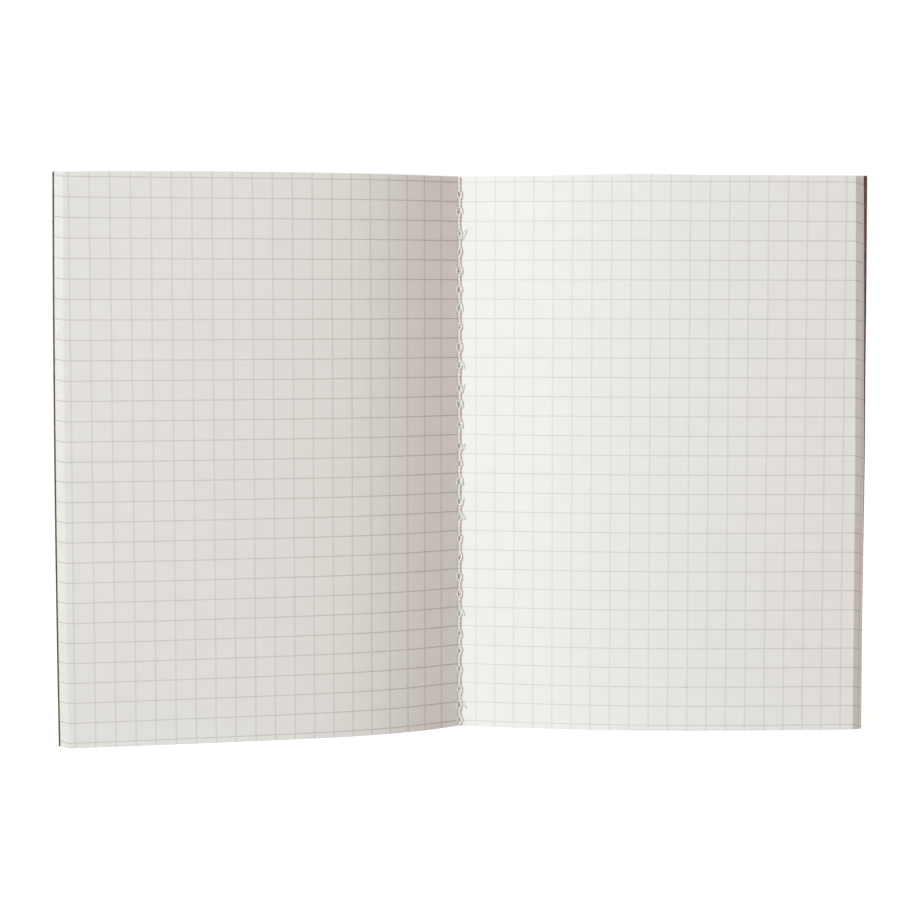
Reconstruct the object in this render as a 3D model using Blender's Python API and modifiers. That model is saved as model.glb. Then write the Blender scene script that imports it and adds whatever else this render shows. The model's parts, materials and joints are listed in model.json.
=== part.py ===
"""Pocket notebook, machine sewn through the fold, standing open on its bottom edge at its middle spread.

The spine stands along +Z, the pages face -Y and the back half lies at +X. Both halves turn on the gutter, the
line where the two inner pages meet. A leaf is drawn across the spine as distance along the page from the gutter,
and depth under the visible page, so every sheet and the cover follow one curve on each side.
"""

import math

import bmesh
import bpy
from mathutils import Matrix

PAGE_HEIGHT = 0.143
COVER_PROUD = 0.00005  # the card past the paper, at the head and at the foot
SHEETS = 12
PAPER = 0.000095
AIR = 0.000025  # left between neighbouring leaves
CARD = 0.00034
COVER_GAP = 0.00004  # between the outer sheet and the card

LEFT_PAGE = 0.1024  # width of the innermost leaves; the fold is a little off centre
RIGHT_PAGE = 0.1019
FOLD_WRAP = math.pi / 2  # how much wider each outer leaf is, in sheet pitches
FRONT_LIP = 0.0003  # the card past its outer sheet, at each fore-edge
BACK_LIP = 0.00075

# Slope of each page away from the spread's own plane, at the fold and at the fore-edge, and the distance from
# the gutter at which it is halfway between the two.
LEFT_SLOPES = (math.radians(26.5), math.radians(3.9))
RIGHT_SLOPES = (math.radians(17.3), math.radians(1.8))
LEFT_HALFWAY = 0.0226
RIGHT_HALFWAY = 0.047
BEND_SHARPNESS = 3.0
BEND_STEPS = 10
BEND_LENGTH = 0.084  # the page is drawn flat beyond this
CURVE_STEP = 0.0002

HOLE_PITCH = 0.0049
FIRST_HOLE = 0.0010  # from the foot of the page
LAST_HOLE_MARGIN = 0.0036  # at least this much page above the last hole
HOLE_WIDTH = 0.0015
HOLE_LENGTH = 0.0010
BOBBIN_THREAD = 0.0005
NEEDLE_THREAD = 0.0003
THREAD_GAP = 0.00005
THREAD_RUN_IN = 0.0007  # along the seam, from the spine's crease to the side of a hole

HINGE_ROOM = 0.0001
HINGE_GAP = 0.0001

PITCH = PAPER + AIR
BLOCK = SHEETS * PITCH
CARD_MIDDLE = BLOCK + COVER_GAP + CARD / 2
FOLD_TILT = (LEFT_SLOPES[0] + RIGHT_SLOPES[0]) / 2
# The sewn strips lie inside this radius of the gutter, and everything that turns lies outside it.
FOLD_RADIUS = (CARD_MIDDLE + CARD / 2) / math.cos(FOLD_TILT) + HINGE_ROOM
LEAF_RADIUS = FOLD_RADIUS + HINGE_GAP
COVER_HEIGHT = PAGE_HEIGHT + 2 * COVER_PROUD
HOLES = int((PAGE_HEIGHT - FIRST_HOLE - LAST_HOLE_MARGIN) / HOLE_PITCH) + 1


def slope(slopes, halfway, along):
    """Slope of a page at a distance from the gutter."""
    at_fold, at_edge = slopes
    return at_edge + (at_fold - at_edge) / (1 + (along / halfway) ** BEND_SHARPNESS)


def facets(slopes, halfway):
    """The page's curve as flat facets: (distance, across, rise, slope) where each one starts."""
    across = rise = along = 0.0
    corners = [(along, across, rise)]
    step = BEND_LENGTH / BEND_STEPS
    pieces = round(step / CURVE_STEP)
    for _ in range(BEND_STEPS):
        for _ in range(pieces):
            angle = slope(slopes, halfway, along + step / pieces / 2)
            across += math.cos(angle) * step / pieces
            rise += math.sin(angle) * step / pieces
            along += step / pieces
        corners.append((along, across, rise))
    found = []
    for (start, x, y), (_, x_next, y_next) in zip(corners, corners[1:]):
        found.append((start, x, y, math.atan2(y_next - y, x_next - x)))
    start, x, y = corners[-1]
    found.append((start, x, y, slope(slopes, halfway, BEND_LENGTH)))
    return found


LEFT_FACETS = facets(LEFT_SLOPES, LEFT_HALFWAY)
RIGHT_FACETS = facets(RIGHT_SLOPES, RIGHT_HALFWAY)
LEFT_TILT = LEFT_FACETS[0][3]
RIGHT_TILT = RIGHT_FACETS[0][3]


def across_spine(curve, depth, start, end):
    """(across, rise) of a sheet at a depth under the visible page, from one distance to another."""
    points = []
    for i, (along, x, y, angle) in enumerate(curve):
        if i == 0:
            points.append((x + start * math.cos(angle) + depth * math.sin(angle),
                           y + start * math.sin(angle) - depth * math.cos(angle)))
            continue
        if along >= end:
            break
        before = curve[i - 1][3]
        middle = (before + angle) / 2
        reach = depth / math.cos((before - angle) / 2)
        points.append((x + reach * math.sin(middle), y - reach * math.cos(middle)))
    along, x, y, angle = [facet for facet in curve if facet[0] < end][-1]
    more = end - along
    points.append((x + more * math.cos(angle) + depth * math.sin(angle),
                   y + more * math.sin(angle) - depth * math.cos(angle)))
    return points


def page_width(inner, number):
    """A leaf's width from the fold: each sheet wraps the ones inside it when the notebook is closed and trimmed."""
    return inner + (number - 1) * PITCH * FOLD_WRAP


def cover_width(inner, lip):
    return page_width(inner, SHEETS + 1) + lip


def leaf_depth(number):
    return (number - 0.5) * PITCH


def leaf_start(depth, thickness):
    """Where something that turns begins, so that its nearest corner is outside the fold."""
    return math.sqrt(LEAF_RADIUS**2 - (depth - thickness / 2) ** 2)


def fold_end(depth, thickness):
    """Where a sewn strip ends, so that its furthest corner is inside the fold."""
    return math.sqrt(FOLD_RADIUS**2 - (depth + thickness / 2) ** 2)


def fold_line(depth):
    """(across, rise) of the crease itself, where the two flanks at this depth meet."""
    reach = depth / math.cos((LEFT_TILT + RIGHT_TILT) / 2)
    lean = (LEFT_TILT - RIGHT_TILT) / 2
    return (-reach * math.sin(lean), -reach * math.cos(lean))


# The origin is under the middle of the box round the whole notebook.
COVER_BACK = BLOCK + COVER_GAP + CARD
SEAM_BACK = -fold_line(COVER_BACK)[1] + THREAD_GAP + NEEDLE_THREAD
LEFT_REACH = across_spine(LEFT_FACETS, COVER_BACK, 0, cover_width(LEFT_PAGE, FRONT_LIP))[-1][0]
RIGHT_REACH = across_spine(RIGHT_FACETS, COVER_BACK, 0, cover_width(RIGHT_PAGE, BACK_LIP))[-1][0]
FRONT_REACH = max(
    across_spine(curve, leaf_depth(1) - PAPER / 2, 0, page_width(inner, 1))[-1][1]
    for curve, inner in ((LEFT_FACETS, LEFT_PAGE), (RIGHT_FACETS, RIGHT_PAGE))
)
GUTTER_X = (LEFT_REACH - RIGHT_REACH) / 2
GUTTER_Y = (FRONT_REACH - SEAM_BACK) / 2


def placed(side, point):
    """A point of the drawing across the spine, in the notebook's own frame: side is -1 on the left."""
    across, rise = point
    return (GUTTER_X + side * across, GUTTER_Y - rise)


def material(name, colour, roughness):
    made = bpy.data.materials.new(name)
    made.use_nodes = True
    shader = made.node_tree.nodes["Principled BSDF"]
    shader.inputs["Base Color"].default_value = (*colour, 1)
    shader.inputs["Roughness"].default_value = roughness
    shader.inputs["Metallic"].default_value = 0.0
    made.diffuse_color = (*colour, 1)
    return made


def collection(name):
    made = bpy.data.collections.new(name)
    bpy.context.scene.collection.children.link(made)
    return made


def hinge_empty(name, parent=None):
    """An empty on the gutter, the axis that the covers and leaves turn on."""
    empty = bpy.data.objects.new(name, None)
    NOTEBOOK.objects.link(empty)
    if parent is None:
        empty.location = (GUTTER_X, GUTTER_Y, 0)
    else:
        empty.parent = parent
    empty.empty_display_size = 0.01
    return empty


def upright_sheet(name, outline, foot, height, thickness, finish, hinge):
    """An outline across the spine drawn up to its height, and given a thickness."""
    mesh = bpy.data.meshes.new(name)
    shape = bmesh.new()
    corners = [shape.verts.new((x - GUTTER_X, y - GUTTER_Y, foot)) for x, y in outline]
    edges = [shape.edges.new(pair) for pair in zip(corners, corners[1:])]
    raised = bmesh.ops.extrude_edge_only(shape, edges=edges)["geom"]
    bmesh.ops.translate(shape, vec=(0, 0, height), verts=[v for v in raised if isinstance(v, bmesh.types.BMVert)])
    bmesh.ops.recalc_face_normals(shape, faces=shape.faces)
    shape.to_mesh(mesh)
    shape.free()
    mesh.materials.append(finish)
    sheet = bpy.data.objects.new(name, mesh)
    NOTEBOOK.objects.link(sheet)
    sheet.parent = hinge
    wall = sheet.modifiers.new("Thickness", "SOLIDIFY")
    wall.thickness = thickness
    wall.offset = 0
    wall.use_even_offset = True
    return sheet


def punch(sheet, holes):
    cut = sheet.modifiers.new("Stitch holes", "BOOLEAN")
    cut.operation = "DIFFERENCE"
    cut.object = holes


def hole_height(number):
    return COVER_PROUD + FIRST_HOLE + number * HOLE_PITCH


def stitch_holes():
    """Diamond punches, one for each stitch, through the fold of every sheet and the cover."""
    shape = bmesh.new()
    length = 4 * FOLD_RADIUS
    for number in range(HOLES):
        made = bmesh.ops.create_cone(
            shape, cap_ends=True, segments=4, radius1=1, radius2=1, depth=length
        )["verts"]
        bmesh.ops.rotate(shape, verts=made, matrix=Matrix.Rotation(math.pi / 2, 3, "X"))
        bmesh.ops.scale(shape, verts=made, vec=(HOLE_WIDTH / 2, 1, HOLE_LENGTH / 2))
        bmesh.ops.translate(shape, verts=made, vec=(0, 0, hole_height(number)))
    mesh = bpy.data.meshes.new("stitch_holes")
    shape.to_mesh(mesh)
    shape.free()
    holes = bpy.data.objects.new("stitch_holes", mesh)
    CUTTERS.objects.link(holes)
    holes.location = (GUTTER_X, GUTTER_Y, 0)
    holes.hide_render = True
    holes.display_type = "WIRE"
    return holes


def thread(name, points, diameter, finish):
    """A thread of four-sided section along its points, which are given from the gutter."""
    curve = bpy.data.curves.new(name, "CURVE")
    curve.dimensions = "3D"
    curve.bevel_depth = diameter / 2
    curve.bevel_resolution = 0
    curve.use_fill_caps = True
    spline = curve.splines.new("POLY")
    spline.points.add(len(points) - 1)
    for knot, place in zip(spline.points, points):
        knot.co = (*place, 1)
    curve.materials.append(finish)
    strand = bpy.data.objects.new(name, curve)
    NOTEBOOK.objects.link(strand)
    strand.parent = SPINE
    return strand


def bobbin_points():
    """Straight down the gutter, on the visible page."""
    out = -(BOBBIN_THREAD / 2 / math.cos(FOLD_TILT) + THREAD_GAP)
    return [(0, out, COVER_PROUD), (0, out, COVER_PROUD + PAGE_HEIGHT)], out


def needle_points(bobbin_out):
    """Down the outside of the spine, and at each hole in through it, over the bobbin thread and out again."""
    back = SEAM_BACK - NEEDLE_THREAD / 2
    front = bobbin_out - (BOBBIN_THREAD + NEEDLE_THREAD) / 2 - THREAD_GAP
    beside = (BOBBIN_THREAD + NEEDLE_THREAD) / 2 + THREAD_GAP
    points = [(0, back, COVER_PROUD)]
    for number in range(HOLES):
        z = hole_height(number)
        points += [
            (0, back, z - THREAD_RUN_IN),
            (-beside, back, z),
            (-beside, front, z),
            (beside, front, z),
            (beside, back, z),
            (0, back, z + THREAD_RUN_IN),
        ]
    return points + [(0, back, COVER_PROUD + PAGE_HEIGHT)]


def fold_outline(depth, thickness):
    """A sewn strip across the spine: its left flank, the crease and its right flank."""
    end = fold_end(depth, thickness)
    left = across_spine(LEFT_FACETS[:1], depth, end, end)[0]
    right = across_spine(RIGHT_FACETS[:1], depth, end, end)[0]
    crease = fold_line(depth)
    return [placed(-1, left), placed(1, crease), placed(1, right)]


def leaf_outline(side, curve, inner, number):
    start = leaf_start(leaf_depth(number), PAPER)
    points = across_spine(curve, leaf_depth(number), start, page_width(inner, number))
    return [placed(side, point) for point in points]


def build_leaves(side, word, curve, inner, half, paper):
    """The leaves of one half, outermost first: the visible page's hinge is carried by the next leaf's."""
    for number in range(SHEETS, 0, -1):
        name = f"{word}_leaf_{number:02d}"
        hinge = hinge_empty(f"{name}_hinge", hinge if number == 1 else half)
        outline = leaf_outline(side, curve, inner, number)
        upright_sheet(name, outline, COVER_PROUD, PAGE_HEIGHT, PAPER, paper, hinge)


def build_folds(paper, holes):
    for number in range(1, SHEETS + 1):
        outline = fold_outline(leaf_depth(number), PAPER)
        strip = upright_sheet(f"sheet_fold_{number:02d}", outline, COVER_PROUD, PAGE_HEIGHT, PAPER, paper, SPINE)
        punch(strip, holes)


def build_cover(card, holes):
    """One folded card: the back half holds the sewn spine, and the front half turns on it."""
    start = leaf_start(CARD_MIDDLE, CARD)
    front = across_spine(LEFT_FACETS, CARD_MIDDLE, start, cover_width(LEFT_PAGE, FRONT_LIP))
    outline = [placed(-1, point) for point in front]
    upright_sheet("front_cover", outline, 0, COVER_HEIGHT, CARD, card, FRONT)

    back = across_spine(RIGHT_FACETS, CARD_MIDDLE, 0, cover_width(RIGHT_PAGE, BACK_LIP))[1:]
    outline = fold_outline(CARD_MIDDLE, CARD)[:2] + [placed(1, point) for point in back]
    punch(upright_sheet("back_cover", outline, 0, COVER_HEIGHT, CARD, card, SPINE), holes)


for old in list(bpy.data.objects):
    bpy.data.objects.remove(old, do_unlink=True)

NOTEBOOK = collection("notebook")
CUTTERS = collection("cutters")
SPINE = hinge_empty("spine")
FRONT = hinge_empty("front_half", SPINE)

PAPER_FINISH = material("ruled_paper", (0.80, 0.77, 0.72), 0.85)
CARD_FINISH = material("cover_card", (0.11, 0.052, 0.042), 0.7)
THREAD_FINISH = material("sewing_thread", (0.88, 0.87, 0.84), 0.6)

HOLE_PUNCH = stitch_holes()
build_cover(CARD_FINISH, HOLE_PUNCH)
build_folds(PAPER_FINISH, HOLE_PUNCH)
build_leaves(-1, "left", LEFT_FACETS, LEFT_PAGE, FRONT, PAPER_FINISH)
build_leaves(1, "right", RIGHT_FACETS, RIGHT_PAGE, SPINE, PAPER_FINISH)

BOBBIN, BOBBIN_OUT = bobbin_points()
thread("bobbin_thread", BOBBIN, BOBBIN_THREAD, THREAD_FINISH)
thread("needle_thread", needle_points(BOBBIN_OUT), NEEDLE_THREAD, THREAD_FINISH)
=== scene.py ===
"""The open notebook, dressed: ruled paper, red-brown card and a twisted white seam, in plain studio light."""

import json
import math

import bmesh
import bpy
from mathutils import Matrix, Vector


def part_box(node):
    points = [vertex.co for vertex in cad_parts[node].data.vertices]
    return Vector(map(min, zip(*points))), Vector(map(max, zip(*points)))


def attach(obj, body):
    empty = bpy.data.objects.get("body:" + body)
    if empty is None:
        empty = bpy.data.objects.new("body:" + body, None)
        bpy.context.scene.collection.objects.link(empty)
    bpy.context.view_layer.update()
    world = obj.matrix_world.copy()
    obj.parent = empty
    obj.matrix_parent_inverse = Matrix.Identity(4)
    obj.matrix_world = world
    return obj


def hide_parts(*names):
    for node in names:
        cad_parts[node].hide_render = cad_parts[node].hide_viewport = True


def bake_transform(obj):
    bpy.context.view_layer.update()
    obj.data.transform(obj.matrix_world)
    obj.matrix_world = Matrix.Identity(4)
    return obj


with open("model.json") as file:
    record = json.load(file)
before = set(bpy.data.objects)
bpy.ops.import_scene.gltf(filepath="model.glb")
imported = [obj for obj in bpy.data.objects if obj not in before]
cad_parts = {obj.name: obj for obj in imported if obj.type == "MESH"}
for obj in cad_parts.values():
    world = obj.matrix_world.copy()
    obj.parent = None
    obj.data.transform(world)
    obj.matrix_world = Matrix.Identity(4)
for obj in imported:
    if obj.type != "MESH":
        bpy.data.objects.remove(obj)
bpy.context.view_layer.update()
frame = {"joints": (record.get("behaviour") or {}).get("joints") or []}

MM = 0.001

# Sheets and cover
SHEETS = 12
PAPER = 0.095 * MM
PITCH = 0.12 * MM  # from the middle of one sheet to that of the next
CARD = 0.34 * MM
CARD_GAP = 0.04 * MM
CARD_MIDDLE = SHEETS * PITCH + CARD_GAP + CARD / 2
LEFT_PAGE = 102.4 * MM
RIGHT_PAGE = 101.9 * MM
FRONT_LIP = 0.24 * MM  # the card is this much wider than one more leaf would be
BACK_LIP = 0.685 * MM

# Slope at the fold and at the fore-edge, and the distance at which a page is halfway between the two
LEFT_BEND = (math.radians(26.5), math.radians(3.9), 22.6 * MM)
RIGHT_BEND = (math.radians(17.3), math.radians(1.8), 47.0 * MM)
BEND_SHARPNESS = 3.0  # the higher, the more the bend is gathered at that distance
CURVE_STEP = 0.2 * MM
CURVE_LENGTH = 110 * MM

# Sewn strips, and the leaves beside them
FOLD_RADIUS = 2.06 * MM  # the strips end here and the leaves begin
FIRST_STRIP = 1.8 * MM  # the innermost ends just beyond the threads, because its leaves turn right over
BEND_ROOM = 6.0 * MM  # a leaf's bend_end is put this much past its strip, and the mesh's columns stand close together within it
FIRST_BEND_ROOM = 4.0 * MM  # and the innermost leaf's bend_end this much past its strip

# The mesh's columns and rows
NEAR_COLUMN = 0.4 * MM
FAR_COLUMN = 2.0 * MM
LEAST_COLUMN = 0.1 * MM  # a narrower one is left to its neighbour
LEFT_FLANK_COLUMNS = 6
ROWS = 12

# The paper's slow waves: how high, from where, over what distance, and their two lengths up the page
UNDULATION = 0.10 * MM
WAVE_START = 10 * MM
WAVE_REACH = 90 * MM
LONG_WAVE = 61 * MM
SHORT_WAVE = 37 * MM
SHORT_WAVE_SHARE = 0.6
SHORT_WAVE_SHIFT = 2.1

# The trim, which is a little out of square. A leaf's layer runs from 0, the innermost, to 1, the outermost.
COVER_LAYER = 1.1
HEAD_TRIM = 0.55 * MM  # the guillotine took this much more off the head at the front half's corner
HEAD_TRIM_REACH = 55 * MM
FOOT_TRIM = 0.38 * MM  # and this much off the foot there, most off the outermost
FOOT_TRIM_REACH = 9 * MM
FOLD_LIFT = 0.32 * MM  # the sheets' feet stand this much higher at the fold
FOLD_LIFT_REACH = 11 * MM
HEAD_RISE = 0.3 * MM  # and the back half's heads, most of all at this place along the page
HEAD_RISE_PLACE = 44 * MM
HEAD_RISE_REACH = 24 * MM
EDGE_TRIM_REACH = 8 * MM  # the fore-edges are moved within this distance of them
EDGE_BOW = {-1: 0.355 * MM, 1: 0.25 * MM}  # each stands out this much halfway up
FRONT_SKEW = (0.03 * MM, -0.26 * MM)  # the front half is this much wider at the foot and at the head
EDGE_TRIM = 0.485 * MM  # the back half's leaves are wider by this at the foot and narrower at the head
EDGE_EXCESS = 0.075 * MM  # wider by this all the way up
LAYER_EXCESS = 0.5 * MM  # and the outermost is wider still
CARD_TRIM = 0.065 * MM  # the back of the cover is wider by this at the foot and narrower at the head
CARD_WEAR = 0.06 * MM  # how far the card's cut edges are rounded

# The ruling, which has one pitch all across a sheet
SQUARE = 5.0 * MM
MIDDLE_LINE = -0.88 * MM  # a line falls just left of the fold
FIRST_ROW = 1.45 * MM  # the lowest level line, above the foot
ROW_DRIFT = {-1: 0.035 * MM, 1: -0.06 * MM}  # a sheet's rows stand this much above those of the one inside it
ROW_SKEW = 0.12 * MM  # the rows stand this much high at the fold, and as much low at twice the reach
ROW_SKEW_REACH = {-1: 50 * MM, 1: 55 * MM}

PAGE_LOW, PAGE_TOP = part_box("left_leaf_01")
PAGE_FOOT = PAGE_LOW[2]
PAGE_HEIGHT = PAGE_TOP[2] - PAGE_LOW[2]
COVER_LOW, COVER_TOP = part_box("front_cover")
COVER_HEIGHT = COVER_TOP[2] - COVER_LOW[2]
GUTTER = Vector(next(j["pos_m"] for j in frame["joints"] if j["name"] == "front_half_fold"))


# The page's curve

class Curve:
    """One half's curve across the spine: where a sheet at some depth lies, a distance from the gutter."""

    def __init__(self, side, bend):
        self.side = side
        self.at_fold, self.at_edge, self.halfway = bend
        self.points = [(0.0, 0.0)]
        across = rise = 0.0
        for i in range(int(CURVE_LENGTH / CURVE_STEP)):
            angle = self.slope((i + 0.5) * CURVE_STEP)
            across += math.cos(angle) * CURVE_STEP
            rise += math.sin(angle) * CURVE_STEP
            self.points.append((across, rise))

    def slope(self, along):
        if along <= 0:
            return self.at_fold
        return self.at_edge + (self.at_fold - self.at_edge) / (1 + (along / self.halfway) ** BEND_SHARPNESS)

    def place(self, along, depth):
        """(x, y) in the notebook's frame. A negative distance runs on straight, past the gutter."""
        if along <= 0:
            across, rise = along * math.cos(self.at_fold), along * math.sin(self.at_fold)
        else:
            step = along / CURVE_STEP
            i = min(int(step), len(self.points) - 2)
            (x0, y0), (x1, y1) = self.points[i], self.points[i + 1]
            across, rise = x0 + (x1 - x0) * (step - i), y0 + (y1 - y0) * (step - i)
        angle = self.slope(along)
        across += depth * math.sin(angle)
        rise -= depth * math.cos(angle)
        return GUTTER.x + self.side * across, GUTTER.y - rise


LEFT = Curve(-1, LEFT_BEND)
RIGHT = Curve(1, RIGHT_BEND)
FOLD_TILT = (LEFT.at_fold + RIGHT.at_fold) / 2


def page_width(inner, number):
    """A leaf further out is wider, by its longer way round the fold."""
    return inner + (number - 1) * PITCH * math.pi / 2


def leaf_depth(number):
    return (number - 0.5) * PITCH


def strip_end(number):
    """How far from the gutter a sheet's sewn strip ends and its leaf begins."""
    return FIRST_STRIP if number == 1 else math.sqrt(FOLD_RADIUS**2 - leaf_depth(number)**2)


def crease_start(depth):
    """How far before the gutter's own line a flank at this depth meets the other one."""
    return -depth * math.tan(FOLD_TILT)


def columns(start, end):
    """Distances for the mesh's columns: close together near the fold."""
    found = [start]
    while found[-1] < end:
        ahead = found[-1] + (NEAR_COLUMN if found[-1] < FOLD_RADIUS + BEND_ROOM else FAR_COLUMN)
        found.append(ahead if ahead < end - LEAST_COLUMN else end)
    return found


def undulation(side, along, height):
    """A slow wave in the paper, the same for every sheet so that they nest, and none at the fold."""
    share = max(0.0, along - WAVE_START) / WAVE_REACH
    wave = math.sin(height / LONG_WAVE * math.tau + side)
    wave += SHORT_WAVE_SHARE * math.sin(height / SHORT_WAVE * math.tau + SHORT_WAVE_SHIFT)
    return UNDULATION * share * share * wave


def trimmed(curve, along, share, end, layer):
    """Where the trim puts a point: how far along the page, and how far up it moves the foot and the head.

    Share is the point's height from 0 to 1. The layer is None for a sewn strip.
    """
    paper = layer is None or layer <= 1
    lift = FOLD_LIFT * max(0.0, 1 - max(along, 0.0) / FOLD_LIFT_REACH) ** 2 if paper else 0.0
    if layer is None:
        return along, lift, 0.0
    at_edge = max(0.0, along - end + EDGE_TRIM_REACH) / EDGE_TRIM_REACH
    wider = EDGE_BOW[curve.side] * 4 * share * (1 - share)
    if curve.side < 0:
        at_head = max(0.0, along - end + HEAD_TRIM_REACH) / HEAD_TRIM_REACH
        at_foot = max(0.0, along - end + FOOT_TRIM_REACH) / FOOT_TRIM_REACH
        wider += FRONT_SKEW[0] * (1 - share) + FRONT_SKEW[1] * share
        return along + wider * at_edge, lift + FOOT_TRIM * layer * at_foot, -HEAD_TRIM * at_head**2
    if not paper:
        return along + (wider + CARD_TRIM * (1 - 2 * share)) * at_edge, 0.0, 0.0
    wider += EDGE_EXCESS + EDGE_TRIM * (1 - 2 * share) + LAYER_EXCESS * layer * (1 - share**4 / 2)
    rise = HEAD_RISE * max(0.0, 1 - ((along - HEAD_RISE_PLACE) / HEAD_RISE_REACH) ** 2) ** 2
    return along + wider * at_edge, lift, rise


# The stitches and the needle's holes

HOLE_PITCH = 4.9 * MM
FIRST_HOLE = 1.0 * MM  # above the foot

# Each stitch from the foot up, in millimetres: how far it strayed from its even place, how much its loop's
# right leg rises on the way out (falls, where it is negative), how far that leg reaches and how proud of the
# page it stands. The last number is how open the loop's left side is, from 0 to 1.
STITCHES = (
    (0.7, -0.4, 0.9, 0.1, 0.5), (-0.3, -0.8, 1.6, 0.3, 1.0), (-0.9, 0.6, 0.6, 0.1, 0.6),
    (-0.5, 0.4, 0.5, 0.1, 0.7), (-0.6, -0.5, 0.6, 0.1, 0.6), (-1.0, 0.6, 0.5, 0.1, 0.6),
    (-0.6, -0.7, 1.0, 0.3, 0.5), (-0.5, -0.7, 0.5, 0.1, 0.8), (-0.7, 0.6, 0.6, 0.1, 1.0),
    (-0.6, -0.5, 0.5, 0.1, 0.4), (-0.5, 0.6, 0.6, 0.1, 0.6), (0.1, -0.6, 1.1, 0.4, 0.4),
    (-0.6, 0.8, 0.9, 0.2, 0.7), (-0.5, -0.9, 0.8, 0.2, 1.0), (-0.7, -0.4, 0.7, 0.1, 0.5),
    (-0.9, 0.6, 1.1, 0.3, 0.9), (-0.3, -1.0, 0.8, 0.1, 0.5), (0.0, -0.8, 0.8, 0.2, 1.0),
    (-0.5, 1.0, 1.1, 0.2, 0.7), (0.3, -0.7, 1.0, 0.3, 0.8), (0.1, -0.9, 0.7, 0.1, 1.0),
    (0.4, -0.5, 0.6, 0.1, 0.4), (0.5, -0.8, 0.8, 0.1, 0.9), (0.2, -0.4, 0.7, 0.1, 1.0),
    (0.2, -0.8, 0.8, 0.1, 1.0), (0.2, -0.9, 0.5, 0.1, 0.2), (0.0, 1.1, 1.6, 0.3, 0.2),
    (0.8, -0.5, 0.8, 0.1, 1.0), (0.3, 0.6, 0.6, 0.1, 0.7),
)

# A slit's middle across and up, half its length, in millimetres, and its turn from level, in radians. The one
# beside the bobbin thread gets the second row's share of how open the stitch is.
SLIT_BESIDE = (-0.30, 0.10, 0.25, 1.45)
SLIT_OPENED = (-0.16, 0.0, 0.50, 0.0)
SLIT_UNDER = (0.06, 0.05, 0.28, 0.1)
SLIT_WIDTH = 0.14 * MM
SLIT_DEPTH = 6 * MM  # through every sheet


def new_object(name, data):
    made = bpy.data.objects.new(name, data)
    bpy.context.scene.collection.objects.link(made)
    return made


def object_from(name, shape):
    """Makes a finished bmesh an object."""
    mesh = bpy.data.meshes.new(name)
    shape.to_mesh(mesh)
    shape.free()
    return new_object(name, mesh)


def stitch_places():
    """(height, lean, reach, proud) of every stitch in metres, and how open it is."""
    for number, (stray, lean, reach, proud, open_side) in enumerate(STITCHES):
        z = PAGE_FOOT + FIRST_HOLE + number * HOLE_PITCH + stray * MM
        yield z, lean * MM, reach * MM, proud * MM, open_side


def needle_holes():
    """The slits that the needle tore: for each stitch one along the seam, and one under the bobbin thread."""
    shape = bmesh.new()
    for z, lean, _, _, open_side in stitch_places():
        way = math.copysign(1, lean)
        beside = [shut + more * open_side for shut, more in zip(SLIT_BESIDE, SLIT_OPENED)]
        for across, up, half_length, turn in (beside, SLIT_UNDER):
            slit = bmesh.ops.create_cone(
                shape, cap_ends=True, segments=6, radius1=1, radius2=1, depth=SLIT_DEPTH,
                matrix=Matrix.Rotation(math.pi / 2, 4, "X"),
            )["verts"]
            place = (GUTTER.x + across * MM, GUTTER.y, z + up * way * MM)
            bmesh.ops.scale(shape, verts=slit, vec=(half_length * MM, 1, SLIT_WIDTH / 2))
            bmesh.ops.rotate(shape, verts=slit, matrix=Matrix.Rotation(-turn * way, 3, "Y"))
            bmesh.ops.translate(shape, verts=slit, vec=place)
    return object_from("needle_holes", shape)


# How a sheet is made

CRISP_ANGLE = math.radians(35)
WORN_ANGLE = math.radians(50)


def upright_strip(stations, foot, height, rows):
    """A strip that stands on the line through the stations. Its points know their station's number."""
    shape = bmesh.new()
    station = shape.verts.layers.int.new("station")
    line = []
    for number, (curve, along, depth, _) in enumerate(stations):
        line.append(shape.verts.new((*curve.place(along, depth), foot)))
        line[-1][station] = number
    edges = [shape.edges.new(pair) for pair in zip(line, line[1:])]
    for _ in range(rows):
        raised = bmesh.ops.extrude_edge_only(shape, edges=edges)["geom"]
        tops = [part for part in raised if isinstance(part, bmesh.types.BMVert)]
        edges = [part for part in raised if isinstance(part, bmesh.types.BMEdge)]
        edges = [edge for edge in edges if edge.verts[0] in tops and edge.verts[1] in tops]
        bmesh.ops.translate(shape, vec=(0, 0, height / rows), verts=tops)
    return shape


def map_and_trim(shape, stations, foot, height, layer):
    """Writes each point's place on the sheet to the UV map, then moves it to where trim and waves have it."""
    station = shape.verts.layers.int["station"]
    ruling = shape.loops.layers.uv.new("ruling")
    end = max(along for _, along, _, _ in stations)
    for face in shape.faces:
        face.smooth = True
        for loop in face.loops:
            curve, along, _, mark = stations[loop.vert[station]]
            share = (loop.vert.co.z - foot) / height
            moved, at_foot, at_head = trimmed(curve, along, share, end, layer)
            up = share * height + at_foot * (1 - share) + at_head * share
            loop[ruling].uv = (mark + curve.side * (moved - along), up)
    for vert in shape.verts:
        curve, along, depth, _ = stations[vert[station]]
        share = (vert.co.z - foot) / height
        along, at_foot, at_head = trimmed(curve, along, share, end, layer)
        vert.co = (*curve.place(along, depth), vert.co.z + at_foot * (1 - share) + at_head * share)
        lift = undulation(curve.side, along, vert.co.z)
        angle = curve.slope(along)
        vert.co.x -= curve.side * lift * math.sin(angle)
        vert.co.y -= lift * math.cos(angle)


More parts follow.
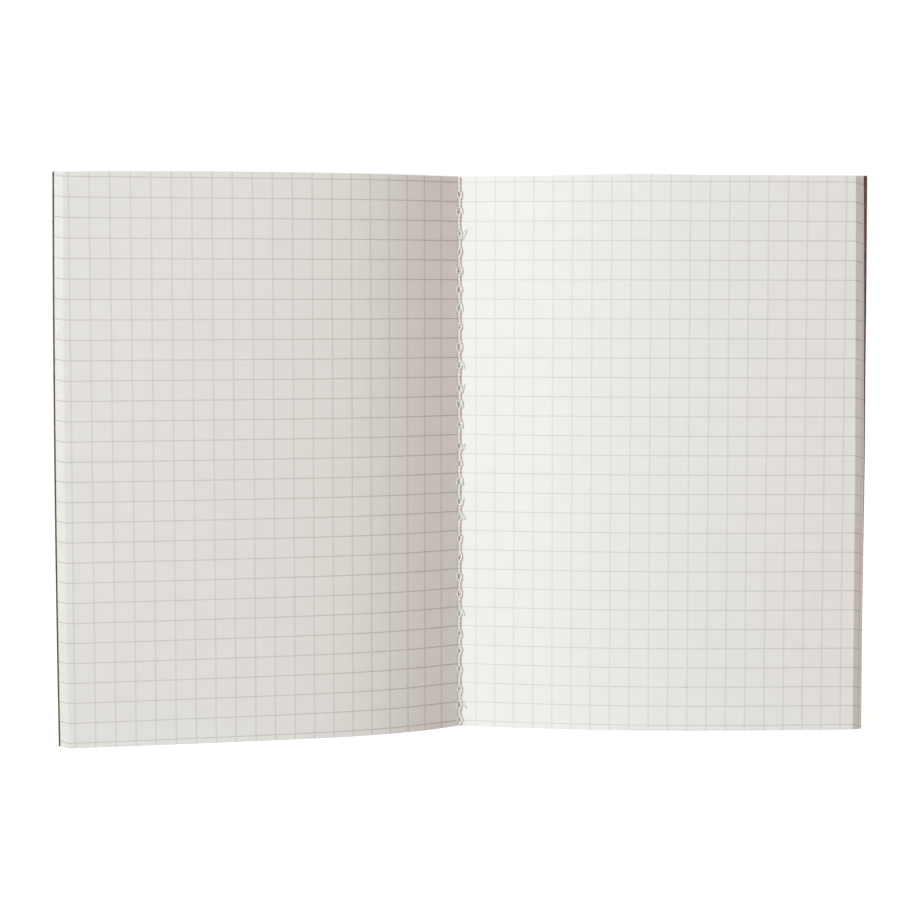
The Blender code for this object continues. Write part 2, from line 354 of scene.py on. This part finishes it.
def curved_sheet(name, stations, foot, height, thickness, rows=ROWS, layer=None, holes=None, worn=0.0):
    """A sheet through stations of (curve, distance, depth, mark). The mark is what its UV map says across."""
    shape = upright_strip(stations, foot, height, rows)
    map_and_trim(shape, stations, foot, height, layer)
    bmesh.ops.recalc_face_normals(shape, faces=shape.faces)
    if sum(face.normal.y for face in shape.faces) > 0:
        bmesh.ops.reverse_faces(shape, faces=shape.faces)
    sheet = object_from(name, shape)
    wall = sheet.modifiers.new("Thickness", "SOLIDIFY")
    wall.thickness = thickness
    wall.offset = 0
    wall.use_even_offset = True
    if holes:
        cut = sheet.modifiers.new("Needle holes", "BOOLEAN")
        cut.operation = "DIFFERENCE"
        cut.solver = "EXACT"
        cut.object = holes
    if worn:
        softened = sheet.modifiers.new("Worn edges", "BEVEL")
        softened.width = worn
        softened.segments = 2
        softened.limit_method = "ANGLE"
        softened.angle_limit = WORN_ANGLE
    settle(sheet)
    return sheet


def settle(piece):
    """Makes a piece's modifiers part of its mesh, with its cut edges crisp."""
    graph = bpy.context.evaluated_depsgraph_get()
    seen = piece.evaluated_get(graph)
    mesh = bpy.data.meshes.new_from_object(seen, preserve_all_data_layers=True, depsgraph=graph)
    mesh.set_sharp_from_angle(angle=CRISP_ANGLE)
    piece.modifiers.clear()
    plain = piece.data
    piece.data = mesh
    mesh.name = piece.name
    bpy.data.meshes.remove(plain)


# Materials

class Nodes:
    """Short calls for building one node tree."""

    def __init__(self, tree):
        self.tree = tree

    def add(self, kind, **values):
        node = self.tree.nodes.new(kind if kind.startswith("NodeGroup") else "ShaderNode" + kind)
        for key, value in values.items():
            setattr(node, key, value)
        return node

    def link(self, source, target):
        self.tree.links.new(source, target)

    def feed(self, socket, value):
        """A socket takes a plain value or another node's output."""
        if isinstance(value, bpy.types.NodeSocket):
            self.link(value, socket)
        else:
            socket.default_value = value

    def math(self, operation, *values):
        node = self.add("Math", operation=operation)
        for socket, value in zip(node.inputs, values):
            self.feed(socket, value)
        return node.outputs[0]

    def mix(self, share, first, second):
        node = self.add("Mix", data_type="RGBA")
        for name, value in (("Factor_Float", share), ("A_Color", first), ("B_Color", second)):
            socket = next(s for s in node.inputs if s.identifier == name)
            if isinstance(value, tuple):
                value = (*value, 1)
            self.feed(socket, value)
        return next(s for s in node.outputs if s.identifier == "Result_Color")

    def remap(self, value, low, high, to_low=0.0, to_high=1.0, smooth=False):
        node = self.add("MapRange", interpolation_type="SMOOTHSTEP" if smooth else "LINEAR")
        for socket, given in zip(node.inputs, (value, low, high, to_low, to_high)):
            self.feed(socket, given)
        return node.outputs[0]

    def noise(self, vector, per_metre, detail, roughness=0.5):
        node = self.add("TexNoise")
        self.link(vector, node.inputs["Vector"])
        self.feed(node.inputs["Scale"], per_metre)
        node.inputs["Detail"].default_value = detail
        node.inputs["Roughness"].default_value = roughness
        return node.outputs[0]

    def object_place(self):
        return self.add("TexCoord").outputs["Object"]

    def sheet_place(self):
        """How far across and up its sheet a point is."""
        apart = self.add("SeparateXYZ")
        self.link(self.add("UVMap", uv_map="ruling").outputs[0], apart.inputs[0])
        return apart.outputs[0], apart.outputs[1]


# The fibres lie in two directions, each by a turn in radians that goes into X, Y and Z by these shares.
FIBRE_TURNS = (0.4, 2.0)
TURN_SHARES = (1.0, 0.7, 1.3)
FIBRE_STRETCH = (1.0, 0.28, 1.0)


def fibre_group():
    """Felted fibres, for the paper, card and thread: a height for bump and a slow cloudiness for colour."""
    tree = bpy.data.node_groups.new("felted_fibres", "ShaderNodeTree")
    for name, direction, kind in (
        ("Vector", "INPUT", "Vector"),
        ("Fibres per metre", "INPUT", "Float"),
        ("Clouds per metre", "INPUT", "Float"),
        ("Height", "OUTPUT", "Float"),
        ("Clouds", "OUTPUT", "Float"),
    ):
        tree.interface.new_socket(name=name, in_out=direction, socket_type="NodeSocket" + kind)
    nodes = Nodes(tree)
    given = nodes.add("NodeGroupInput").outputs
    shown = nodes.add("NodeGroupOutput").inputs
    layers = []
    for turn in FIBRE_TURNS:
        spin = nodes.add("Mapping")
        nodes.link(given["Vector"], spin.inputs["Vector"])
        spin.inputs["Rotation"].default_value = [turn * share for share in TURN_SHARES]
        spin.inputs["Scale"].default_value = FIBRE_STRETCH
        layers.append(nodes.noise(spin.outputs[0], given["Fibres per metre"], detail=3.0))
    nodes.link(nodes.math("MAXIMUM", *layers), shown["Height"])
    nodes.link(nodes.noise(given["Vector"], given["Clouds per metre"], detail=4.0), shown["Clouds"])
    return tree


FIBRES = fibre_group()


def fibres(nodes, place, fibres_per_metre, clouds_per_metre):
    node = nodes.add("Group", node_tree=FIBRES)
    nodes.link(place, node.inputs["Vector"])
    node.inputs["Fibres per metre"].default_value = fibres_per_metre
    node.inputs["Clouds per metre"].default_value = clouds_per_metre
    return node.outputs["Height"], node.outputs["Clouds"]


def new_material(name, roughness, specular):
    made = bpy.data.materials.new(name)
    made.use_nodes = True
    shader = made.node_tree.nodes["Principled BSDF"]
    shader.inputs["Roughness"].default_value = roughness
    shader.inputs["Specular IOR Level"].default_value = specular
    return made, Nodes(made.node_tree), shader


def bump(nodes, shader, height, strength, distance):
    node = nodes.add("Bump")
    node.inputs["Strength"].default_value = strength
    node.inputs["Distance"].default_value = distance
    nodes.link(height, node.inputs["Height"])
    nodes.link(node.outputs["Normal"], shader.inputs["Normal"])


PAPER_WHITE = (0.865, 0.855, 0.83)
PAPER_CLOUD = (0.85, 0.838, 0.812)
INK = (0.30, 0.28, 0.26)
LEVEL_LINE = (0.25 * MM, 0.07 * MM, 1.0)  # width, softness and strength
UPRIGHT_LINE = (0.38 * MM, 0.15 * MM, 0.58)
WORN_INK = 0.85  # the share of the print that is left where it is most worn
LEFT_INK_AND_PAINTED_SHADE = (0.375, 0.61)  # how dark the lines are at the left fore-edge and at the fold: print, with painted shade that is heaviest where the page lies in shade by the fold
RIGHT_INK_AND_PAINTED_LIGHT = (0.27, 0.41)  # and just right of the fold and at the right fore-edge: print, painted lighter by the fold where the page is most brightly lit
INK_REACH = 90 * MM  # the lines' painted shading is even from here outwards,
INK_FOLD = 5 * MM  # and on the left page from here to the fold
SPECK_GREY = (0.16, 0.14, 0.12)
SPECK_PLACE = (58.76 * MM, 11.32 * MM)  # from the gutter and from the foot
SPECK_RADIUS = 0.22 * MM
SPECK_STRENGTH = 0.8


def printed_lines(nodes, place, width, softness, strength):
    squares = nodes.math("DIVIDE", place, SQUARE)
    off_line = nodes.math("MULTIPLY", nodes.math("PINGPONG", squares, 0.5), SQUARE)
    line = nodes.remap(off_line, width / 2 + softness, width / 2 - softness, smooth=True)
    return nodes.math("MULTIPLY", line, strength)


def grey_speck(nodes, across, up):
    """A mask for the one speck in the paper of the right page."""
    aside = nodes.math("SUBTRACT", across, SPECK_PLACE[0] - MIDDLE_LINE)
    above = nodes.math("SUBTRACT", up, SPECK_PLACE[1] - FIRST_ROW)
    squared = nodes.math("ADD", nodes.math("POWER", aside, 2.0), nodes.math("POWER", above, 2.0))
    far = nodes.math("SQRT", squared)
    return nodes.remap(far, SPECK_RADIUS, SPECK_RADIUS / 3, 0.0, SPECK_STRENGTH, smooth=True)


def ruled_paper():
    """Off-white writing paper, printed in squares by the distances in its UV map."""
    made, nodes, shader = new_material("ruled_paper", roughness=0.82, specular=0.25)
    across, up = nodes.sheet_place()
    space = nodes.object_place()
    uprights = printed_lines(nodes, across, *UPRIGHT_LINE)
    line = nodes.math("MAXIMUM", uprights, printed_lines(nodes, up, *LEVEL_LINE))
    wear = nodes.noise(space, per_metre=900.0, detail=3.0)
    line = nodes.math("MULTIPLY", line, nodes.remap(wear, 0.3, 0.6, WORN_INK, 1.0))
    # The lines are darker on the left page, most of all by the fold, and lightest just right of it: painted
    # shade where the page lies in shade by the fold, and painted light where it is most brightly lit.
    near_fold = nodes.math("POWER", nodes.remap(across, -INK_REACH, -INK_FOLD), 2.0)
    left = nodes.remap(near_fold, 0.0, 1.0, *LEFT_INK_AND_PAINTED_SHADE)
    right = nodes.remap(across, 0.0, INK_REACH, *RIGHT_INK_AND_PAINTED_LIGHT)
    weight = nodes.mix(nodes.math("GREATER_THAN", across, 0.0), left, right)
    height, clouds = fibres(nodes, space, fibres_per_metre=5200.0, clouds_per_metre=260.0)
    sheet = nodes.mix(nodes.remap(clouds, 0.35, 0.65), PAPER_WHITE, PAPER_CLOUD)
    colour = nodes.mix(nodes.math("MULTIPLY", line, weight), sheet, INK)
    colour = nodes.mix(grey_speck(nodes, across, up), colour, SPECK_GREY)
    nodes.link(colour, shader.inputs["Base Color"])
    bump(nodes, shader, height, strength=0.10, distance=0.02 * MM)
    return made


CARD_BROWN = (0.084, 0.0435, 0.034)
CARD_DARK = (0.073, 0.038, 0.030)
CARD_PALE = (0.18, 0.11, 0.087)
RUB_REACH = 0.9 * MM  # the rubbing fades out over this distance from an edge or the crease, and so does the crease's painted highlight
CREASE_RIDGE = 0.1 * MM
EDGE_RUB = 0.7
# The crease's paleness: wear, and a painted highlight on its ridge.
CREASE_WEAR_AND_HIGHLIGHT = 0.6
FLECKS = 0.35
CARD_ROUGHNESS = (0.62, 0.76)


def cover_card():
    """Dyed card: felted, flecked, worn paler along the edges, and paler along the crease by wear and a
    painted highlight on its ridge.
    """
    made, nodes, shader = new_material("cover_card", roughness=0.68, specular=0.35)
    space = nodes.object_place()
    height, clouds = fibres(nodes, space, fibres_per_metre=2600.0, clouds_per_metre=60.0)
    across, up = nodes.sheet_place()
    across = nodes.math("ABSOLUTE", across)
    width = page_width((LEFT_PAGE + RIGHT_PAGE) / 2, SHEETS + 1) + (FRONT_LIP + BACK_LIP) / 2
    to_end = nodes.math("MINIMUM", up, nodes.math("SUBTRACT", COVER_HEIGHT, up))
    to_edge = nodes.math("MINIMUM", to_end, nodes.math("SUBTRACT", width, across))
    edge = nodes.remap(to_edge, RUB_REACH, 0.0, 0.0, EDGE_RUB, smooth=True)
    # Paler along the crease: wear, and a painted highlight on the crease's ridge.
    crease = nodes.remap(across, RUB_REACH, CREASE_RIDGE, 0.0, CREASE_WEAR_AND_HIGHLIGHT, smooth=True)
    patches = nodes.noise(space, per_metre=400.0, detail=4.0, roughness=0.7)
    patchy = nodes.remap(patches, 0.35, 0.7)
    wear_and_highlight = nodes.math("MULTIPLY", nodes.math("MAXIMUM", edge, crease), patchy)
    fleck = nodes.remap(nodes.noise(space, per_metre=3200.0, detail=1.0), 0.66, 0.74, 0.0, FLECKS)
    base = nodes.mix(nodes.remap(clouds, 0.35, 0.7), CARD_BROWN, CARD_DARK)
    base = nodes.mix(fleck, base, CARD_PALE)
    nodes.link(nodes.mix(wear_and_highlight, base, CARD_PALE), shader.inputs["Base Color"])
    nodes.link(nodes.remap(clouds, 0.3, 0.7, *CARD_ROUGHNESS), shader.inputs["Roughness"])
    bump(nodes, shader, height, strength=0.35, distance=0.04 * MM)
    return made


THREAD_WHITE = (0.97, 0.97, 0.955)
THREAD_CLOUD = (0.94, 0.935, 0.915)


def sewing_thread():
    """White spun thread, whose plies are modelled: fine hairs along them are bump."""
    made, nodes, shader = new_material("sewing_thread", roughness=0.7, specular=0.3)
    space = nodes.object_place()
    height, clouds = fibres(nodes, space, fibres_per_metre=9000.0, clouds_per_metre=700.0)
    shade = nodes.mix(nodes.remap(clouds, 0.35, 0.7), THREAD_WHITE, THREAD_CLOUD)
    nodes.link(shade, shader.inputs["Base Color"])
    shader.inputs["Sheen Weight"].default_value = 0.4
    shader.inputs["Sheen Roughness"].default_value = 0.5
    bump(nodes, shader, height, strength=0.25, distance=0.02 * MM)
    return made


PAPER_FINISH = ruled_paper()
CARD_FINISH = cover_card()
THREAD_FINISH = sewing_thread()


# Leaves, sewn strips and cover

def finish(piece, material):
    piece.data.materials.append(material)


def set_rows(sheet, side, number):
    """Puts the sheet's ruling at the height, and with the slight skew, that the printer left it at."""
    drift = ROW_DRIFT[side] * (number - 1)
    for point in sheet.data.uv_layers["ruling"].data:
        skew = ROW_SKEW * (1 - min(abs(point.uv.x) / ROW_SKEW_REACH[side], 2.0))
        point.uv.y -= FIRST_ROW + drift + skew


def flank_point(curve, distance):
    return (*curve.place(distance, 0.0), 0.0)


def paper_station(curve, along, depth):
    """A station on a sheet, marked by its distance from the printed line beside the fold."""
    return curve, along, depth, curve.side * max(along, 0.0) - MIDDLE_LINE


def card_station(curve, along):
    """A station on the cover, marked by its distance from the crease."""
    return curve, along, CARD_MIDDLE, curve.side * (along - crease_start(CARD_MIDDLE))


def across_fold(depth, left_end, right_end):
    """(curve, distance) from the left flank over the crease to the right flank."""
    crease = crease_start(depth)
    steps = range(LEFT_FLANK_COLUMNS, -1, -1)
    left = [(LEFT, crease + (left_end - crease) * i / LEFT_FLANK_COLUMNS) for i in steps]
    return left + [(RIGHT, along) for along in columns(crease, right_end)[1:]]


def leaf(curve, word, inner, number):
    """One leaf, from the end of its sewn strip out to its fore-edge."""
    body = f"{word}_leaf_{number:02d}"
    start = strip_end(number)
    width = page_width(inner, number)
    stations = [paper_station(curve, along, leaf_depth(number)) for along in columns(start, width)]
    layer = (number - 1) / (SHEETS - 1)
    page = curved_sheet(f"{word}_page_{number:02d}", stations, PAGE_FOOT, PAGE_HEIGHT, PAPER, layer=layer)
    set_rows(page, curve.side, number)
    finish(page, PAPER_FINISH)
    bend_end = start + (FIRST_BEND_ROOM if number == 1 else BEND_ROOM)
    flank_point(curve, start)
    flank_point(curve, bend_end)
    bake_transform(page)
    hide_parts(body)


def sewn_strip(number, holes):
    """One sheet's fold, held by the seam."""
    depth = leaf_depth(number)
    end = strip_end(number)
    stations = [paper_station(curve, along, depth) for curve, along in across_fold(depth, end, end)]
    strip = curved_sheet(
        f"fold_{number:02d}", stations, PAGE_FOOT, PAGE_HEIGHT, PAPER, rows=1, holes=holes)
    set_rows(strip, 1, number)
    finish(strip, PAPER_FINISH)
    flank_point(LEFT, 0.0)
    flank_point(LEFT, end)
    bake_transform(strip)
    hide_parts(f"sheet_fold_{number:02d}")


def card(name, stations):
    made = curved_sheet(name, stations, COVER_LOW[2], COVER_HEIGHT, CARD, layer=COVER_LAYER, worn=CARD_WEAR)
    finish(made, CARD_FINISH)
    return made


def cover():
    """The front half, and the back half with the spine."""
    start = math.sqrt(FOLD_RADIUS**2 - CARD_MIDDLE**2)
    width = page_width(LEFT_PAGE, SHEETS + 1) + FRONT_LIP
    front = card("front_card", [card_station(LEFT, along) for along in columns(start, width)])
    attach(front, "front_half")
    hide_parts("front_cover")

    width = page_width(RIGHT_PAGE, SHEETS + 1) + BACK_LIP
    back = card("back_card", [card_station(*place) for place in across_fold(CARD_MIDDLE, start, width)])
    flank_point(LEFT, 0.0)
    flank_point(LEFT, start)
    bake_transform(back)
    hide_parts("back_cover")


# The seam

BOBBIN_RADIUS = 0.19 * MM
BOBBIN_TWIST = 2.0 * MM  # the length of one turn of its plies
BOBBIN_STEP = 0.16 * MM  # between the points of a ply
BOBBIN_GAP = 0.02 * MM
NEEDLE_RADIUS = 0.11 * MM
NEEDLE_TWIST = 1.1 * MM
NEEDLE_STEP = 0.09 * MM
NEEDLE_GAP = 0.03 * MM
PLIES = 2
PLY_SHARE = 0.52  # a ply's radius, and how far it lies off the middle, as a share of the thread's radius
PLY_ROUNDNESS = 1  # six sides
CAP_WELD = 0.0001 * MM  # closes a ply's loose end caps
SPINE_BACK = (CARD_MIDDLE + CARD / 2) / math.cos(FOLD_TILT)
SEAM_FOOT = PAGE_FOOT + FOLD_LIFT
SEAM_HEAD = PAGE_FOOT + PAGE_HEIGHT

BOBBIN_REST = -0.28 * MM  # between stitches it lies on the front half's side of the fold
BOBBIN_PULL = 0.60 * MM  # and a stitch pulls it this much to the other side
BOBBIN_SWAYS = ((0.35, -1.5), (1.0, -0.1), (0.0, 1.3))  # share of the pull, at millimetres past the stitch

# A stitch's loop, in millimetres, when shut and what is added when open: how far its left side reaches from
# the fold, and about half of how tall that side is.
LOOP_LEG = (0.50, 0.42)
LOOP_TALL = (0.65, 0.50)
LOOP_TURN = 0.85  # the left side bends round from this share of its reach
LEG_SHARE = 0.85  # the right leg's middle line goes this share of its reach,
RETURN_SHARE = 0.6  # and the way back starts at this share of that,
RETURN_GAP = 0.15 * MM  # or this much short of it where that is nearer the fold
SLIT_INSIDE = 0.6 * MM  # how deep in the sheets the thread bends towards its slit


def strand(shape, points, radius):
    """Adds a round tube through the points to a bmesh, by way of a curve."""
    curve = bpy.data.curves.new("strand", "CURVE")
    curve.dimensions = "3D"
    curve.bevel_depth = radius
    curve.bevel_resolution = PLY_ROUNDNESS
    curve.use_fill_caps = True
    spline = curve.splines.new("POLY")
    spline.points.add(len(points) - 1)
    for knot, place in zip(spline.points, points):
        knot.co = (*place, 1)
    holder = new_object("strand", curve)
    made = bpy.data.meshes.new_from_object(holder.evaluated_get(bpy.context.evaluated_depsgraph_get()))
    shape.from_mesh(made)
    bpy.data.objects.remove(holder)
    bpy.data.curves.remove(curve)
    bpy.data.meshes.remove(made)


def smooth_path(points, spacing):
    """Points at even spacing on a curve through the given ones."""
    found = []
    for i in range(len(points) - 1):
        before, a = points[max(i - 1, 0)], points[i]
        b, after = points[i + 1], points[min(i + 2, len(points) - 1)]
        count = max(2, round((b - a).length / spacing))
        for k in range(count):
            t = k / count
            found.append(
                0.5 * ((2 * a) + (b - before) * t + (2 * before - 5 * a + 4 * b - after) * t * t
                       + (3 * a - before - 3 * b + after) * t**3)
            )
    return found + [points[-1]]


def plied(shape, path, radius, turn_length):
    """Twisted plies round a path of even spacing."""
    length = 0.0
    lines = [[] for _ in range(PLIES)]
    side = Vector((1, 0, 0))
    for i, place in enumerate(path):
        ahead = path[min(i + 1, len(path) - 1)] - path[max(i - 1, 0)]
        ahead.normalize()
        side = (side - ahead * side.dot(ahead)).normalized()
        other = ahead.cross(side)
        if i:
            length += (place - path[i - 1]).length
        for ply, line in enumerate(lines):
            angle = math.tau * (length / turn_length + ply / PLIES)
            off = (side * math.cos(angle) + other * math.sin(angle)) * radius * PLY_SHARE
            line.append(place + off)
    for line in lines:
        strand(shape, line, radius * PLY_SHARE)


def lying(x, above):
    """Depth, from the gutter, of a thread this far left or right of the fold and this far off both pages."""
    on_left = x * math.tan(LEFT.at_fold) - above / math.cos(LEFT.at_fold)
    on_right = -x * math.tan(RIGHT.at_fold) - above / math.cos(RIGHT.at_fold)
    return min(on_left, on_right)


def bobbin_route():
    """Up the gutter: each stitch draws the thread over to the right, and it springs back beyond."""
    sways = [(BOBBIN_REST, SEAM_FOOT)]
    for z, lean, _, _, _ in stitch_places():
        way = math.copysign(MM, lean)
        sways += sorted(
            ((BOBBIN_REST + share * BOBBIN_PULL, z + past * way) for share, past in BOBBIN_SWAYS),
            key=lambda sway: sway[1],
        )
    sways.append((BOBBIN_REST, SEAM_HEAD))
    sways = [sway for sway in sways if SEAM_FOOT <= sway[1] <= SEAM_HEAD]
    return [(x, lying(x, BOBBIN_RADIUS + BOBBIN_GAP), z) for x, z in sways]


def needle_route():
    """Up the outside of the spine, and at each slit in, round the bobbin thread as a loop, and out again."""
    back = SPINE_BACK + NEEDLE_RADIUS + NEEDLE_GAP
    over = lying(0, BOBBIN_RADIUS) - BOBBIN_RADIUS - NEEDLE_RADIUS - NEEDLE_GAP
    points = [(0, back, SEAM_FOOT)]
    for z, lean, reach, proud, open_side in stitch_places():
        way = math.copysign(MM, lean)
        leg = -(LOOP_LEG[0] + LOOP_LEG[1] * open_side) * MM
        tall = (LOOP_TALL[0] + LOOP_TALL[1] * open_side) * way
        turn = LOOP_TURN * leg
        reach *= LEG_SHARE
        tip = min(reach * RETURN_SHARE, reach - RETURN_GAP)
        middle = (reach + tip) / 2
        points += [
            # Along the spine and in, left of the fold
            (0, back, max(z - 1.2 * MM, SEAM_FOOT + 0.1 * MM)),
            (-0.28 * MM, back - 0.05 * MM, z - 0.25 * MM),
            (-0.36 * MM, SLIT_INSIDE, z + 0.15 * way),
            # The loop's left side, from its slit round to the bobbin thread
            (-0.40 * MM, lying(-0.40 * MM, 0.0), z + 0.6 * tall),
            (turn, lying(turn, -0.06 * MM), z + 0.9 * tall),
            (leg, lying(leg, 0.06 * MM), z + 0.35 * tall),
            (leg, lying(leg, 0.06 * MM), z - 0.35 * tall),
            (turn, lying(turn, 0.0), z - 0.8 * tall),
            # Over the bobbin thread, and the right leg out and back
            (-0.05 * MM, over, z - 0.9 * way - 0.3 * lean),
            (0.34 * MM, lying(0.34 * MM, NEEDLE_RADIUS + proud), z - 0.5 * way - 0.6 * lean),
            (middle, lying(middle, NEEDLE_RADIUS + proud), z + 0.3 * lean),
            (reach, lying(reach, NEEDLE_RADIUS), z + lean),
            (tip, lying(tip, NEEDLE_RADIUS), z + 0.5 * lean),
            # In under the bobbin thread and out to the spine
            (0.30 * MM, lying(0.30 * MM, 0.0), z + 0.1 * way),
            (0.24 * MM, SLIT_INSIDE, z),
            (0.28 * MM, back - 0.05 * MM, z + 0.25 * MM),
            (0, back, z + 1.2 * MM),
        ]
    points[-1] = (0, back, min(points[-1][2], SEAM_HEAD - 0.3 * MM))
    return points + [(0, back, SEAM_HEAD)]


def thread(name, route, radius, turn_length, spacing, node):
    """Plies a thread along its route, whose places are counted from the gutter's own line."""
    placed = [Vector((x + GUTTER.x, y + GUTTER.y, z)) for x, y, z in route]
    shape = bmesh.new()
    plied(shape, smooth_path(placed, spacing), radius, turn_length)
    bmesh.ops.remove_doubles(shape, verts=shape.verts, dist=CAP_WELD)
    bmesh.ops.recalc_face_normals(shape, faces=shape.faces)
    for face in shape.faces:
        face.smooth = True
    piece = object_from(name, shape)
    finish(piece, THREAD_FINISH)
    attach(piece, "back_half")
    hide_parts(node)


# Light, floor and camera

ROOM_COLOUR = (0.551, 0.439, 0.386)
WHITE = (1.0, 1.0, 1.0)
KEY_PLACE = (-1.56, -1.092, 0.682)
KEY_AIM = (0, 0, 0.07)
KEY_SIZE = 0.8
KEY_WATTS = 36.0
KEY_COLOUR = (0.782, 0.913, 0.953)
FLOOR_REACH = 12.0
FLOOR_GREY = 0.55
FLOOR_GLOW = 0.8  # brings the floor to white where it is seen, and leaves the object's shadow on it


def seen_directly(nodes):
    """1 for what the camera, a reflection or a see-through piece sees, and 0 for what only gets its light."""
    path = nodes.add("LightPath").outputs
    shone = nodes.math("MAXIMUM", path["Is Glossy Ray"], path["Is Transmission Ray"])
    return nodes.math("MAXIMUM", path["Is Camera Ray"], shone)


def room():
    world = bpy.data.worlds.new("studio")
    bpy.context.scene.world = world
    world.use_nodes = True
    nodes = Nodes(world.node_tree)
    colour = nodes.mix(seen_directly(nodes), ROOM_COLOUR, WHITE)
    nodes.link(colour, world.node_tree.nodes["Background"].inputs["Color"])


def floor():
    shape = bmesh.new()
    bmesh.ops.create_grid(shape, x_segments=1, y_segments=1, size=FLOOR_REACH)
    made = object_from("floor", shape)
    white, nodes, shader = new_material("floor_white", roughness=0.9, specular=0.0)
    shader.inputs["Base Color"].default_value = (FLOOR_GREY, FLOOR_GREY, FLOOR_GREY, 1)
    shader.inputs["Emission Color"].default_value = (*WHITE, 1)
    glow = nodes.math("MULTIPLY", seen_directly(nodes), FLOOR_GLOW)
    nodes.link(glow, shader.inputs["Emission Strength"])
    made.data.materials.append(white)


def key_light():
    light = bpy.data.lights.new("key", "AREA")
    light.size = KEY_SIZE
    light.energy = KEY_WATTS
    light.color = KEY_COLOUR
    lamp = new_object("key", light)
    lamp.location = KEY_PLACE
    lamp.rotation_euler = (Vector(KEY_AIM) - Vector(KEY_PLACE)).to_track_quat("-Z", "Y").to_euler()


# The camera stands a little left of the spread and looks down on it by four degrees.
FOCAL_PIXELS = 2150.0
IMAGE_PIXELS = 920.0
SENSOR = 36.0
CAMERA_FROM_FOOT = Vector((-67.74, -553.14, 109.10)) * MM
CAMERA_YAW = math.radians(6.973)
CAMERA_PITCH = math.radians(4.025)


def camera():
    data = bpy.data.cameras.new("camera")
    data.sensor_width = SENSOR
    data.lens = SENSOR * FOCAL_PIXELS / IMAGE_PIXELS
    made = new_object("camera", data)
    made.location = CAMERA_FROM_FOOT + Vector((GUTTER.x, GUTTER.y, PAGE_FOOT))
    made.rotation_euler = (math.pi / 2 - CAMERA_PITCH, 0, -CAMERA_YAW)
    bpy.context.scene.camera = made


slits = needle_holes()
cover()
for number in range(1, SHEETS + 1):
    leaf(LEFT, "left", LEFT_PAGE, number)
for number in range(1, SHEETS + 1):
    leaf(RIGHT, "right", RIGHT_PAGE, number)
for number in range(1, SHEETS + 1):
    sewn_strip(number, slits)
bpy.data.objects.remove(slits)
thread("inner_thread", bobbin_route(), BOBBIN_RADIUS, BOBBIN_TWIST, BOBBIN_STEP, "bobbin_thread")
thread("outer_thread", needle_route(), NEEDLE_RADIUS, NEEDLE_TWIST, NEEDLE_STEP, "needle_thread")
room()
floor()
key_light()
camera()

scene = bpy.context.scene
scene.view_settings.view_transform = "Standard"
